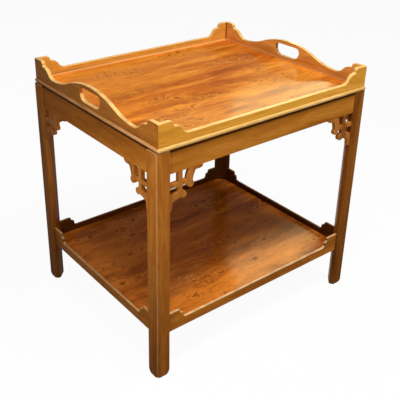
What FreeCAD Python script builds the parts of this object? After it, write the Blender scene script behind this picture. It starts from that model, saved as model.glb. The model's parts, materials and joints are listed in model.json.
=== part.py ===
import FreeCAD, Part
import os
import re
import Sketcher

# A side table in two tiers: a tray with a gallery, which lifts off its stand, and a low shelf.
# Millimetres. X runs along the table, Y from front to back and Z up. The origin is on the floor,
# under the middle of the table.

# Every driving size, under the piece that it belongs to.
SIZES = {
    # the stand, over the outer faces of its legs
    "stand_length": "596",
    "stand_depth": "489",
    "frame_height": "540",
    # legs
    "leg_side": "32",
    "leg_arris": "2.5",
    "leg_inner_chamfer": "11.5",
    "leg_lower_chamfer": "20",
    "leg_foot_round": "3",
    "leg_foot_curve": "22",
    "leg_top_bevel": "2",
    # frieze rails and their tenons
    "frieze_height": "52",
    "frieze_thickness": "18",
    "frieze_setback": "2.5",
    "frieze_tenon_length": "15",
    "frieze_tenon_thickness": "7",
    "frieze_tenon_height": "28",
    "frieze_tenon_drop": "16",
    # how much roomier a mortise is than its tenon
    "tenon_gap": "0.1",
    "mortise_spare_depth": "0.5",
    # pierced fret brackets: reach along the rail and down the leg, then the pattern
    "fret_reach": "83",
    "fret_thickness": "9.5",
    "fret_bar_offset": "22.5",
    "fret_bar_width": "9.5",
    "fret_lobe_far": "53",
    "fret_lobe_near": "35",
    "fret_lobe_radius": "7.5",
    "fret_neck": "2",
    "fret_strut_foot": "43.5",
    "fret_strut_head": "51",
    "fret_strut_bow": "1.5",
    "fret_lip_depth": "7",
    "fret_lip_start": "64.5",
    "fret_lip_end": "75",
    "fret_tip_bow": "1.5",
    # shelf rails, with an ear beside each leg
    "shelf_bottom": "108.5",
    "shelf_rail_height": "22.5",
    "shelf_rail_thickness": "6",
    "shelf_rail_setback": "6",
    "shelf_ear_height": "47",
    "shelf_ear_flat": "28",
    "shelf_step_run": "8",
    "shelf_step_rise": "9.5",
    "shelf_ogee_run": "13",
    "shelf_tenon_length": "12",
    "shelf_tenon_thickness": "3",
    "shelf_tenon_height": "26",
    "shelf_tenon_rise": "14",
    # shelf board, held in grooves in its rails
    "shelf_board_thickness": "5",
    "shelf_board_lip": "2.5",
    "shelf_groove_depth": "3",
    "shelf_board_gap": "0.2",
    # tray board and the gallery planted on its edge, which lie in from the outer faces of the legs
    "tray_end_inset": "5",
    "tray_side_inset": "0.5",
    "tray_board_thickness": "9",
    "gallery_thickness": "9",
    "gallery_height": "49.5",
    "gallery_ear_flat": "26.5",
    "gallery_step_run": "14.5",
    "gallery_step_rise": "12.5",
    "side_low_height": "17",
    "side_ogee_run": "33",
    "end_dip_height": "16.5",
    "end_dip_place": "160",
    # the turn from the rounded top of a curve to its hollow, as a share of its run: on the short
    # step below an ear's flat top, on the longer curve below that, and beside an end's crest
    "step_turn_share": "0.6",
    "ear_turn_share": "0.45",
    "crest_turn_share": "0.58",
    # hand holes in the tray's ends
    "hand_hole_width": "82",
    "hand_hole_rise": "9.5",
    "hand_hole_upper_round": "11",
    "hand_hole_lower_round": "19",
    # shallow round bead on the edge of the tray, as high as the board is thick
    "bead_projection": "2.5",
    # battens under the tray, which drop inside the frieze
    "batten_width": "30",
    "batten_thickness": "12",
    "batten_gap": "3",
    # corner blocks behind the frieze
    "block_wing": "35",
    "block_height": "30",
    "block_drop": "2",
    # wood screws, all of one gauge
    "screw_radius": "1.75",
    "screw_head_radius": "3.5",
    "screw_point_length": "6",
    "screw_point_radius": "0.4",
    "screw_gap": "0.1",
    "block_screw_length": "40",
    "gallery_screw_length": "20",
    "batten_screw_length": "18",
    # how far a cut runs on past the wood that it leaves
    "cut_overrun": "2",
}

# Screws along a gallery and across a batten, as shares of half its length.
GALLERY_SCREW_SHARES = (-0.8, -0.35, 0.35, 0.8)
BATTEN_SCREW_SHARES = (-0.8, 0.0, 0.8)

# The angle about Z of each side of the table, and of the corner at its left end.
SIDES = {"front": 0, "right": 90, "back": 180, "left": 270}
CORNERS = {"front_left": 0, "front_right": 90, "back_right": 180, "back_left": 270}
HALF_TURN = 180
FULL_TURN = 360
MITRE = 45

X_AXIS = FreeCAD.Vector(1, 0, 0)
Y_AXIS = FreeCAD.Vector(0, 1, 0)
Z_AXIS = FreeCAD.Vector(0, 0, 1)

doc = FreeCAD.newDocument("side_table")
sizes = doc.addObject("Spreadsheet::Sheet", "sizes")
for row, (alias, number) in enumerate(SIZES.items(), start=1):
    sizes.set(f"A{row}", alias)
    sizes.set(f"B{row}", number)
    sizes.setAlias(f"B{row}", alias)
doc.recompute()

nodes = []


def formula(text):
    """An expression: each word that is a size gets the sheet's name in front."""
    return re.sub(r"[a-z_]+", lambda word: f"sizes.{word[0]}" if word[0] in SIZES else word[0], text)


def value(text):
    """The number that a formula gives."""
    return float(sizes.evalExpression(formula(text)))


def new_body(label):
    body = doc.addObject("PartDesign::Body", label)
    body.Label = label
    nodes.append(body)
    return body


def new_sketch(body, plane, height="0", lift="0", turn=0):
    """A sketch on one of the body's own planes, moved along its normal by height and up the sketch
    by lift, and turned about the sketch's upright axis."""
    origin_plane = next(part for part in body.Origin.OriginFeatures if part.Role == plane)
    sketch = body.newObject("Sketcher::SketchObject", "outline")
    sketch.AttachmentSupport = (origin_plane, [""])
    sketch.MapMode = "FlatFace"
    sketch.AttachmentOffset = FreeCAD.Placement(FreeCAD.Vector(), FreeCAD.Rotation(Y_AXIS, turn))
    sketch.setExpression("AttachmentOffset.Base.y", formula(lift))
    sketch.setExpression("AttachmentOffset.Base.z", formula(height))
    return sketch


def pin(sketch, geometry, point, x, y):
    """Fixes one point of a sketch at a place given by two formulas."""
    for text, axis, kind in ((x, -2, "DistanceX"), (y, -1, "DistanceY")):
        if text == "0":
            sketch.addConstraint(Sketcher.Constraint("PointOnObject", geometry, point, axis))
            continue
        fixed = Sketcher.Constraint(kind, -1, 1, geometry, point, value(text))
        index = sketch.addConstraint(fixed)
        sketch.setExpression(f"Constraints[{index}]", formula(text))


def draw(sketch, start, *steps):
    """Draws a closed outline. Each step is the place where a straight run ends, or for an arc the
    place that it passes through and then the place where it ends."""
    here = start
    pieces = []
    for step in steps:
        near, far = (FreeCAD.Vector(value(x), value(y), 0) for x, y in (here, step[-2:]))
        if len(step) == 2:
            index = sketch.addGeometry(Part.LineSegment(near, far))
        else:
            through = FreeCAD.Vector(value(step[0]), value(step[1]), 0)
            index = sketch.addGeometry(Part.Arc(near, through, far))
            dot = sketch.addGeometry(Part.Point(through), True)
            sketch.addConstraint(Sketcher.Constraint("PointOnObject", dot, 1, index))
            pin(sketch, dot, 1, *step[:2])
        runs_forward = sketch.getPoint(index, 1).distanceToPoint(near) < sketch.getPoint(
            index, 2).distanceToPoint(near)
        pieces.append((index, 1, 2) if runs_forward else (index, 2, 1))
        pin(sketch, index, pieces[-1][1], *here)
        here = step[-2:]
    for (before, _, end), (after, begin, _) in zip(pieces, pieces[1:] + pieces[:1]):
        sketch.addConstraint(Sketcher.Constraint("Coincident", before, end, after, begin))


def draw_box(sketch, low, high):
    """Draws a rectangle between two corners."""
    draw(sketch, low, (high[0], low[1]), high, (low[0], high[1]), low)


def draw_circle(sketch, x, y, radius):
    centre = FreeCAD.Vector(value(x), value(y), 0)
    index = sketch.addGeometry(Part.Circle(centre, Z_AXIS, value(radius)))
    pin(sketch, index, 3, x, y)
    limit = sketch.addConstraint(Sketcher.Constraint("Radius", index, value(radius)))
    sketch.setExpression(f"Constraints[{limit}]", formula(radius))


def ogee(x, z, run, rise, share, along, up):
    """Two steps of an outline that leave (x, z) level, turn over at a share of the way and arrive
    level again, a run and a rise away. Along and up are 1 or -1."""
    chord = f"sqrt(({run})^2 + ({rise})^2)"
    bow = f"{chord} * ({chord} - ({run})) / (2 * ({rise}))"
    rest = f"(1 - {share})"
    return (
        (f"{x} + {along} * {share} * {chord} / 2", f"{z} + {up} * {share} * {bow}",
         f"{x} + {along} * {share} * ({run})", f"{z} + {up} * {share} * ({rise})"),
        (f"{x} + {along} * (({run}) - {rest} * {chord} / 2)", f"{z} + {up} * (({rise}) - {rest} * {bow})",
         f"{x} + {along} * ({run})", f"{z} + {up} * ({rise})"),
    )


def ear(x, z, step_run, step_rise, run, drop, up):
    """The edge of a stepped ear, drawn towards -X: a short ogee below its flat top, then a longer
    one, with a drop in all from top to foot. Up is -1 from the top down, 1 from the foot up."""
    rest = f"({drop} - {step_rise})"
    if up == -1:
        return (*ogee(x, z, step_run, step_rise, "step_turn_share", -1, -1),
                *ogee(f"{x} - {step_run}", f"{z} - {step_rise}", run, rest, "ear_turn_share", -1, -1))
    return (*ogee(x, z, run, rest, "(1 - ear_turn_share)", -1, 1),
            *ogee(f"{x} - {run}", f"{z} + {rest}", step_run, step_rise, "(1 - step_turn_share)", -1, 1))


def pad(body, sketch, length, reverse=False, both_ways=False):
    feature = body.newObject("PartDesign::Pad", "pad")
    feature.Profile = sketch
    feature.setExpression("Length", formula(length))
    feature.Reversed = reverse
    feature.SideType = "Symmetric" if both_ways else "One side"
    doc.recompute()


def check_cut(body, before):
    """A cut that misses the wood leaves it as large as it was."""
    doc.recompute()
    if not body.Shape.Volume < before:
        raise RuntimeError(f"a cut in {body.Label} removes nothing")


def cut(body, sketch, depth=None):
    """Cuts along the sketch's normal to a depth, or right through both ways."""
    before = body.Shape.Volume
    feature = body.newObject("PartDesign::Pocket", "cut")
    feature.Profile = sketch
    if depth is None:
        feature.Type = "ThroughAll"
        feature.SideType = "Symmetric"
    else:
        feature.setExpression("Length", formula(depth))
        feature.Reversed = True
    check_cut(body, before)


def place(body, turn, along, inward, height, stand_up=FreeCAD.Rotation()):
    """Puts a piece on one side of the table: along that side from its middle, inward from the
    outer faces of the legs, and at a height. Turn is the side's angle."""
    across = "stand_depth" if turn in (SIDES["front"], SIDES["back"]) else "stand_length"
    out = f"({across} / 2 - ({inward}))"
    x, y = {
        SIDES["front"]: (along, f"-{out}"),
        SIDES["right"]: (out, along),
        SIDES["back"]: (f"-({along})", out),
        SIDES["left"]: (f"-{out}", f"-({along})"),
    }[turn]
    body.Placement = FreeCAD.Placement(FreeCAD.Vector(), FreeCAD.Rotation(Z_AXIS, turn) * stand_up)
    for axis, text in zip("xyz", (x, y, height)):
        body.setExpression(f"Placement.Base.{axis}", formula(text))


def span(turn):
    """The table's size along a side."""
    return "stand_length" if turn in (SIDES["front"], SIDES["back"]) else "stand_depth"


# Legs, drawn in plan from the outer corner, so that all four are one shape turned about Z. The inner
# corner is cut back a little behind the frieze, and further from there down to the floor.
BLOCK_SCREW_HEIGHT = "frame_height - frieze_tenon_drop / 2"
BLOCK_FACE = "(leg_side + block_wing + frieze_setback + frieze_thickness) * cos(45)"


def cut_block_screw_hole(body):
    """The hole of the screw through a corner block into its leg, on the diagonal of the corner."""
    before = body.Shape.Volume
    tip = f"{BLOCK_FACE} - block_screw_length - screw_gap"
    head = "screw_head_radius - screw_radius"
    wide = "screw_radius + screw_gap"
    sketch = new_sketch(body, "XZ_Plane", lift=BLOCK_SCREW_HEIGHT, turn=MITRE)
    draw(sketch, (tip, "0"), (tip, "screw_point_radius + screw_gap"),
         (f"{tip} + screw_point_length", wide), (f"{BLOCK_FACE} - ({head})", wide),
         (f"{BLOCK_FACE} + cut_overrun", f"{wide} + {head} + cut_overrun"),
         (f"{BLOCK_FACE} + cut_overrun", "0"), (tip, "0"))
    groove = body.newObject("PartDesign::Groove", "screw_hole")
    groove.Profile = sketch
    groove.ReferenceAxis = (sketch, ["H_Axis"])
    groove.Angle = FULL_TURN
    check_cut(body, before)


def cut_mortises(body, setback, thickness, length, tenon_thickness, bottom, height):
    """The two mortises, one in each inner face, for the rails that meet in a leg."""
    near = f"{setback} + ({thickness} - {tenon_thickness}) / 2 - tenon_gap"
    far = f"{setback} + ({thickness} + {tenon_thickness}) / 2 + tenon_gap"
    deep = f"leg_side - {length} - mortise_spare_depth"
    mouth = "leg_side + cut_overrun"
    sketch = new_sketch(body, "XY_Plane", height=f"{bottom} - tenon_gap")
    draw_box(sketch, (deep, near), (mouth, far))
    draw_box(sketch, (near, deep), (far, mouth))
    cut(body, sketch, f"{height} + 2 * tenon_gap")


def round_foot(body):
    """Draws in the corners of a leg towards the floor, in one curve round the middle of the leg."""
    before = body.Shape.Volume
    corner = "leg_side * cos(45)"
    beyond = f"{corner} + cut_overrun"
    sketch = new_sketch(body, "XZ_Plane", height="-leg_side / 2")
    sketch.setExpression("AttachmentOffset.Base.x", formula("leg_side / 2"))
    draw(sketch, (f"{corner} - leg_foot_curve * (1 - cos(45))", "0"),
         (f"{corner} - leg_foot_curve * (1 - cos(22.5))", "leg_foot_curve * (sin(45) - sin(22.5))",
          corner, "leg_foot_curve * sin(45)"),
         (beyond, "leg_foot_curve * sin(45)"), (beyond, "0"),
         (f"{corner} - leg_foot_curve * (1 - cos(45))", "0"))
    groove = body.newObject("PartDesign::Groove", "foot_corners")
    groove.Profile = sketch
    groove.ReferenceAxis = (sketch, ["V_Axis"])
    groove.Angle = FULL_TURN
    check_cut(body, before)


FRIEZE_TENON_BOTTOM = "frame_height - frieze_tenon_drop - frieze_tenon_height"

for corner, turn in CORNERS.items():
    body = new_body(f"leg_{corner}")
    section = new_sketch(body, "XY_Plane")
    flat = "leg_side - leg_inner_chamfer"
    draw(section, ("leg_arris", "0"), ("leg_side", "0"), ("leg_side", flat), (flat, "leg_side"),
         ("0", "leg_side"), ("0", "leg_arris"),
         ("leg_arris * (1 - cos(45))", "leg_arris * (1 - cos(45))", "leg_arris", "0"))
    pad(body, section, "frame_height")
    lower = new_sketch(body, "XY_Plane")
    beyond = "leg_side + cut_overrun"
    within = "leg_side - leg_lower_chamfer - cut_overrun"
    draw(lower, (beyond, within), (beyond, beyond), (within, beyond), (beyond, within))
    cut(body, lower, "frame_height - frieze_height")
    for plane in ("XZ_Plane", "YZ_Plane"):
        foot = new_sketch(body, plane)
        draw(foot, ("-cut_overrun", "frame_height - leg_top_bevel - cut_overrun"),
             ("leg_top_bevel + cut_overrun", "frame_height + cut_overrun"),
             ("-cut_overrun", "frame_height + cut_overrun"),
             ("-cut_overrun", "frame_height - leg_top_bevel - cut_overrun"))
        draw(foot, ("-cut_overrun", "-cut_overrun"), ("leg_foot_round", "-cut_overrun"),
             ("leg_foot_round", "0"),
             ("leg_foot_round * (1 - cos(45))", "leg_foot_round * (1 - cos(45))",
              "0", "leg_foot_round"),
             ("-cut_overrun", "leg_foot_round"), ("-cut_overrun", "-cut_overrun"))
        draw(foot, ("leg_side + cut_overrun", "-cut_overrun"),
             ("leg_side - leg_foot_round", "-cut_overrun"), ("leg_side - leg_foot_round", "0"),
             ("leg_side - leg_foot_round * (1 - cos(45))", "leg_foot_round * (1 - cos(45))",
              "leg_side", "leg_foot_round"),
             ("leg_side + cut_overrun", "leg_foot_round"),
             ("leg_side + cut_overrun", "-cut_overrun"))
        cut(body, foot)
    round_foot(body)
    cut_mortises(body, "frieze_setback", "frieze_thickness", "frieze_tenon_length",
                 "frieze_tenon_thickness", FRIEZE_TENON_BOTTOM, "frieze_tenon_height")
    cut_mortises(body, "shelf_rail_setback", "shelf_rail_thickness", "shelf_tenon_length",
                 "shelf_tenon_thickness", "shelf_bottom + shelf_tenon_rise", "shelf_tenon_height")
    cut_block_screw_hole(body)
    place(body, turn, f"-{span(turn)} / 2", "0", "0")


def add_tenons(body, half, length, thickness, tenon_thickness, bottom, height):
    """A tenon at each end of a rail, central in its thickness."""
    near = f"({thickness} - {tenon_thickness}) / 2"
    far = f"({thickness} + {tenon_thickness}) / 2"
    sketch = new_sketch(body, "XY_Plane", height=bottom)
    draw_box(sketch, (f"{half} - {length}", near), (f"{half} + {length}", far))
    draw_box(sketch, (f"-({half} + {length})", near), (f"-({half} - {length})", far))
    pad(body, sketch, height)


# Frieze rails, drawn lying along the side, with the outer face on the line.
for side, turn in SIDES.items():
    body = new_body(f"frieze_rail_{side}")
    half = f"({span(turn)} / 2 - leg_side)"
    plan = new_sketch(body, "XY_Plane")
    draw_box(plan, (f"-{half}", "0"), (half, "frieze_thickness"))
    pad(body, plan, "frieze_height")
    add_tenons(body, half, "frieze_tenon_length", "frieze_thickness", "frieze_tenon_thickness",
               "frieze_height - frieze_tenon_drop - frieze_tenon_height", "frieze_tenon_height")
    place(body, turn, "0", "frieze_setback", "frame_height - frieze_height")


# Pierced fret brackets. Places are (out along the rail, down the leg) from the corner between them.
# The pattern is the same on both sides of the diagonal, so one half of it is drawn and swapped.
def fret_half():
    """The steps of one half, from the inner corner of the bars to the notch between the lobes."""
    bar_far = "fret_bar_offset + fret_bar_width"
    lean = "fret_lobe_radius * sin(37)"
    rise = "fret_lobe_radius * cos(37)"
    mid_in = "(fret_strut_foot + fret_strut_head) / 2 - fret_strut_bow"
    mid_out = f"(fret_lip_start + fret_lobe_far + {lean}) / 2 - fret_strut_bow"
    return [
        ("fret_bar_offset", "0"),
        (bar_far, "0"),
        (bar_far, "fret_bar_offset"),
        ("fret_strut_foot", "fret_bar_offset"),
        (mid_in, "fret_bar_offset / 2", "fret_strut_head", "0"),
        ("fret_reach", "0"),
        ("(fret_reach + fret_lip_end) / 2 + fret_tip_bow", "fret_lip_depth / 2 + fret_tip_bow",
         "fret_lip_end", "fret_lip_depth"),
        ("fret_lip_start", "fret_lip_depth"),
        (mid_out, f"(fret_lip_depth + fret_lobe_near - {rise}) / 2",
         f"fret_lobe_far + {lean}", f"fret_lobe_near - {rise}"),
        (f"fret_lobe_far + {rise}", f"fret_lobe_near + {lean}",
         "fret_lobe_far - fret_lobe_radius", "fret_lobe_near"),
        ("fret_lobe_far - fret_lobe_radius - fret_neck", bar_far),
        (bar_far, bar_far),
    ]


def down(step):
    """A step with its distances down the leg made negative, for a sketch whose Y points up."""
    return tuple(f"-({text})" if index % 2 and text != "0" else text for index, text in enumerate(step))


def fret_outline():
    """The start and the steps of the whole outline: the half, then the half in the opposite order
    with along and down exchanged."""
    start = ("fret_bar_offset", "fret_bar_offset")
    forward = fret_half()
    ends = [start] + [step[-2:] for step in forward]
    backward = []
    for index in range(len(forward) - 1, -1, -1):
        through = forward[index][:-2][::-1]
        backward.append(through + ends[index][::-1])
    return down(start), [down(step) for step in forward + backward]


for side, turn in SIDES.items():
    left_corner = next(name for name, angle in CORNERS.items() if angle == turn)
    right_corner = next(name for name, angle in CORNERS.items() if angle == (turn + 90) % FULL_TURN)
    for corner, end in ((left_corner, -1), (right_corner, 1)):
        neighbour = corner.replace(side, "").strip("_")
        body = new_body(f"fret_{side}_{neighbour}")
        start, steps = fret_outline()
        plate = new_sketch(body, "XY_Plane")
        draw(plate, start, *steps)
        pad(body, plate, "fret_thickness")
        upright = FreeCAD.Rotation(X_AXIS, 90)
        depth = "frieze_setback + fret_thickness"
        if end == 1:
            upright = FreeCAD.Rotation(Z_AXIS, HALF_TURN) * upright
            depth = "frieze_setback"
        place(body, turn, f"{end} * ({span(turn)} / 2 - leg_side)", depth,
              "frame_height - frieze_height", upright)


# Corner blocks, glued between the frieze rails and the chamfer of the leg, drawn from the outer
# corner of the leg.
for corner, turn in CORNERS.items():
    body = new_body(f"corner_block_{corner}")
    behind = "frieze_setback + frieze_thickness"
    root = f"2 * leg_side - leg_inner_chamfer - ({behind})"
    plan = new_sketch(body, "XY_Plane", height="frame_height - block_drop - block_height")
    draw(plan, (root, behind), ("leg_side + block_wing", behind), (behind, "leg_side + block_wing"),
         (behind, root), (root, behind))
    pad(body, plan, "block_height")
    cut_block_screw_hole(body)
    place(body, turn, f"-{span(turn)} / 2", "0", "0")


# Shelf rails, drawn in elevation, with a groove inside for the board.
for side, turn in SIDES.items():
    body = new_body(f"shelf_rail_{side}")
    half = f"({span(turn)} / 2 - leg_side)"
    drop = "shelf_ear_height - shelf_rail_height"
    foot = f"({half} - shelf_ear_flat - shelf_step_run - shelf_ogee_run)"
    curve = ("shelf_step_run", "shelf_step_rise", "shelf_ogee_run", drop)
    front = new_sketch(body, "XZ_Plane")
    draw(front, (f"-{half}", "0"), (half, "0"), (half, "shelf_ear_height"),
         (f"{half} - shelf_ear_flat", "shelf_ear_height"),
         *ear(f"{half} - shelf_ear_flat", "shelf_ear_height", *curve, -1),
         (f"-{foot}", "shelf_rail_height"),
         *ear(f"-{foot}", "shelf_rail_height", *curve, 1),
         (f"-{half}", "shelf_ear_height"), (f"-{half}", "0"))
    pad(body, front, "shelf_rail_thickness", reverse=True)
    groove = new_sketch(body, "YZ_Plane")
    draw_box(groove, ("shelf_rail_thickness - shelf_groove_depth", "shelf_board_lip"),
             ("shelf_rail_thickness + cut_overrun", "shelf_board_lip + shelf_board_thickness"))
    cut(body, groove)
    add_tenons(body, half, "shelf_tenon_length", "shelf_rail_thickness", "shelf_tenon_thickness",
               "shelf_tenon_rise", "shelf_tenon_height")
    place(body, turn, "0", "shelf_rail_setback", "shelf_bottom")

# The shelf board lies in the grooves and is cut round each leg.
shelf = new_body("shelf_board")
edge = "(shelf_rail_setback + shelf_rail_thickness - shelf_groove_depth + shelf_board_gap)"
post = "(leg_side + shelf_board_gap)"
post_chamfer = "(leg_side - leg_lower_chamfer)"
plan_steps = []
for across, back in ((-1, -1), (1, -1), (1, 1), (-1, 1)):
    notch = [(edge, post), (post_chamfer, post), (post, post_chamfer), (post, edge)]
    if across != back:
        notch.reverse()
    plan_steps += [(f"{across} * (stand_length / 2 - {x})", f"{back} * (stand_depth / 2 - {y})")
                   for x, y in notch]
plan = new_sketch(shelf, "XY_Plane")
draw(plan, plan_steps[0], *plan_steps[1:], plan_steps[0])
pad(shelf, plan, "shelf_board_thickness")
shelf.setExpression("Placement.Base.z", formula("shelf_bottom + shelf_board_lip"))


# The tray board, and the countersunk holes for the screws that hold its gallery and battens.
TRAY_INSET = {turn: "tray_side_inset" if side in ("front", "back") else "tray_end_inset"
              for side, turn in SIDES.items()}
TRAY_HALF = {turn: f"({span(turn)} / 2 - {TRAY_INSET[(turn + 90) % FULL_TURN]})"
             for turn in SIDES.values()}
BATTEN_PLACE = ("(stand_length / 2 - leg_side - block_wing - batten_gap - batten_width / 2)")
BATTEN_HALF = "(stand_depth / 2 - frieze_setback - frieze_thickness - batten_gap)"


def sink_holes(body, sketch):
    """Countersunk holes up through a board, from its underside."""
    before = body.Shape.Volume
    hole = body.newObject("PartDesign::Hole", "screw_holes")
    hole.Profile = sketch
    hole.Reversed = True
    hole.DepthType = "ThroughAll"
    hole.setExpression("Diameter", formula("2 * (screw_radius + screw_gap)"))
    hole.HoleCutType = "Countersink"
    hole.HoleCutCustomValues = True
    hole.HoleCutCountersinkAngle = 2 * MITRE
    hole.setExpression("HoleCutDiameter", formula("2 * (screw_head_radius + screw_gap)"))
    check_cut(body, before)


def gallery_screws(turn):
    """Places of one gallery's screws, along the side and in from the edge of the board."""
    return [(f"{share} * {TRAY_HALF[turn]}", "gallery_thickness / 2") for share in GALLERY_SCREW_SHARES]


def batten_screws():
    """Places of every batten screw, in plan."""
    return [(f"{end} * {BATTEN_PLACE}", f"{share} * {BATTEN_HALF}")
            for end in (-1, 1) for share in BATTEN_SCREW_SHARES]


tray_half_length = TRAY_HALF[SIDES["front"]]
tray_half_depth = TRAY_HALF[SIDES["left"]]
board = new_body("tray_board")
plan = new_sketch(board, "XY_Plane")
draw_box(plan, (f"-{tray_half_length}", f"-{tray_half_depth}"), (tray_half_length, tray_half_depth))
pad(board, plan, "tray_board_thickness")
through = new_sketch(board, "XY_Plane")
for side, turn in SIDES.items():
    for along, inward in gallery_screws(turn):
        edge_line = f"({TRAY_HALF[(turn + 90) % FULL_TURN]} - {inward})"
        if side in ("front", "back"):
            hole_place = (along, f"{1 if side == 'back' else -1} * {edge_line}")
        else:
            hole_place = (f"{1 if side == 'right' else -1} * {edge_line}", along)
        draw_circle(through, *hole_place, "screw_radius")
sink_holes(board, through)
pilots = new_sketch(board, "XY_Plane")
for x, y in batten_screws():
    draw_circle(pilots, x, y, "screw_radius + screw_gap")
cut(board, pilots, "batten_screw_length - batten_thickness + screw_gap")
board.setExpression("Placement.Base.z", formula("frame_height"))


def cut_mitres(body, half, outer, inner):
    """Mitres both ends of a length that is longest on its outer line."""
    sketch = new_sketch(body, "XY_Plane")
    for end in (-1, 1):
        past = f"{end} * ({half} + cut_overrun)"
        draw(sketch, (past, f"{outer} - cut_overrun"), (past, f"{inner} + cut_overrun"),
             (f"{end} * ({half} - ({inner} - {outer}) - cut_overrun)", f"{inner} + cut_overrun"),
             (past, f"{outer} - cut_overrun"))
    cut(body, sketch)


def finish_gallery(body, turn):
    """Mitred ends, screw holes from below, and the gallery's place on the board."""
    cut_mitres(body, TRAY_HALF[turn], "0", "gallery_thickness")
    bores = new_sketch(body, "XY_Plane")
    for along, inward in gallery_screws(turn):
        draw_circle(bores, along, inward, "screw_radius + screw_gap")
    cut(body, bores, "gallery_screw_length - tray_board_thickness + screw_gap")
    place(body, turn, "0", TRAY_INSET[turn], "frame_height + tray_board_thickness")


# Front and back gallery: low in the middle, rising to a stepped ear at each end.
for side in ("front", "back"):
    turn = SIDES[side]
    body = new_body(f"gallery_{side}")
    half = TRAY_HALF[turn]
    foot = f"({half} - gallery_ear_flat - gallery_step_run - side_ogee_run)"
    drop = "gallery_height - side_low_height"
    curve = ("gallery_step_run", "gallery_step_rise", "side_ogee_run", drop)
    front = new_sketch(body, "XZ_Plane")
    draw(front, (f"-{half}", "0"), (half, "0"), (half, "gallery_height"),
         (f"{half} - gallery_ear_flat", "gallery_height"),
         *ear(f"{half} - gallery_ear_flat", "gallery_height", *curve, -1),
         (f"-{foot}", "side_low_height"),
         *ear(f"-{foot}", "side_low_height", *curve, 1),
         (f"-{half}", "gallery_height"), (f"-{half}", "0"))
    pad(body, front, "gallery_thickness", reverse=True)
    finish_gallery(body, turn)

# Left and right gallery: from each ear down to a dip, then up to a crest over the hand hole.
for side in ("left", "right"):
    turn = SIDES[side]
    body = new_body(f"gallery_{side}")
    half = TRAY_HALF[turn]
    top = f"({half} - gallery_ear_flat)"
    drop = "gallery_height - end_dip_height"
    curve = ("gallery_step_run", "gallery_step_rise", f"({top} - gallery_step_run - end_dip_place)", drop)
    front = new_sketch(body, "XZ_Plane")
    draw(front, (f"-{half}", "0"), (half, "0"), (half, "gallery_height"), (top, "gallery_height"),
         *ear(top, "gallery_height", *curve, -1),
         *ogee("end_dip_place", "end_dip_height", "end_dip_place", drop,
               "(1 - crest_turn_share)", -1, 1),
         *ogee("0", "gallery_height", "end_dip_place", drop, "crest_turn_share", -1, -1),
         *ear("-end_dip_place", "end_dip_height", *curve, 1),
         (f"-{half}", "gallery_height"), (f"-{half}", "0"))
    pad(body, front, "gallery_thickness", reverse=True)
    hand_hole = new_sketch(body, "XZ_Plane")
    wide = "(hand_hole_width / 2)"
    top_flat = f"({wide} - hand_hole_upper_round)"
    bottom_flat = f"({wide} - hand_hole_lower_round)"
    level = "(hand_hole_rise + hand_hole_lower_round)"
    highest = f"({level} + hand_hole_upper_round)"
    draw(hand_hole, (f"-{bottom_flat}", "hand_hole_rise"), (bottom_flat, "hand_hole_rise"),
         (f"{bottom_flat} + hand_hole_lower_round * cos(45)",
          f"{level} - hand_hole_lower_round * cos(45)", wide, level),
         (f"{top_flat} + hand_hole_upper_round * cos(45)",
          f"{level} + hand_hole_upper_round * cos(45)", top_flat, highest),
         (f"-{top_flat}", highest),
         (f"-({top_flat} + hand_hole_upper_round * cos(45))",
          f"{level} + hand_hole_upper_round * cos(45)", f"-{wide}", level),
         (f"-({bottom_flat} + hand_hole_lower_round * cos(45))",
          f"{level} - hand_hole_lower_round * cos(45)", f"-{bottom_flat}", "hand_hole_rise"))
    cut(body, hand_hole)
    finish_gallery(body, turn)

# The shallow bead, four mitred lengths round the edge of the tray.
for side, turn in SIDES.items():
    body = new_body(f"bead_{side}")
    half = f"({TRAY_HALF[turn]} + bead_projection)"
    profile = new_sketch(body, "YZ_Plane")
    draw(profile, ("0", "tray_board_thickness"), ("0", "0"),
         ("-bead_projection", "tray_board_thickness / 2", "0", "tray_board_thickness"))
    pad(body, profile, f"2 * {half}", both_ways=True)
    cut_mitres(body, half, "-bead_projection", "0")
    place(body, turn, "0", TRAY_INSET[turn], "frame_height")

# Two battens across the underside of the tray, just inside the frieze and the corner blocks.
for side, end in (("left", -1), ("right", 1)):
    body = new_body(f"tray_batten_{side}")
    plan = new_sketch(body, "XY_Plane")
    draw_box(plan, ("-batten_width / 2", f"-{BATTEN_HALF}"), ("batten_width / 2", BATTEN_HALF))
    pad(body, plan, "batten_thickness")
    holes = new_sketch(body, "XY_Plane")
    for share in BATTEN_SCREW_SHARES:
        draw_circle(holes, "0", f"{share} * {BATTEN_HALF}", "screw_radius")
    sink_holes(body, holes)
    body.setExpression("Placement.Base.x", formula(f"{end} * {BATTEN_PLACE}"))
    body.setExpression("Placement.Base.z", formula("frame_height - batten_thickness"))


def screw(length, head, point):
    """A countersunk wood screw from its head to its point."""
    radius = value("screw_radius")
    head_radius = value("screw_head_radius")
    point_radius = value("screw_point_radius")
    shank = value(f"{length} - screw_point_length")
    full = value(length)
    half = [(0, 0), (head_radius, 0), (radius, head_radius - radius), (radius, shank),
            (point_radius, full), (0, full)]
    profile = Part.makePolygon([FreeCAD.Vector(x, 0, z) for x, z in half + half[:1]])
    solid = Part.Face(profile).revolve(FreeCAD.Vector(), Z_AXIS, FULL_TURN)
    turned = FreeCAD.Rotation(Z_AXIS, point - head)
    return solid.transformed(FreeCAD.Placement(head, turned).toMatrix())


def screw_group(label, length, places):
    """A node that holds every screw of one kind. Each place is where a head is and which way its
    point lies."""
    group = doc.addObject("Part::Feature", label)
    group.Label = label
    group.Shape = Part.makeCompound([screw(length, head, head + way) for head, way in places])
    nodes.append(group)


def spot(x, y, z):
    return FreeCAD.Vector(value(x), value(y), value(z))


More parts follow.
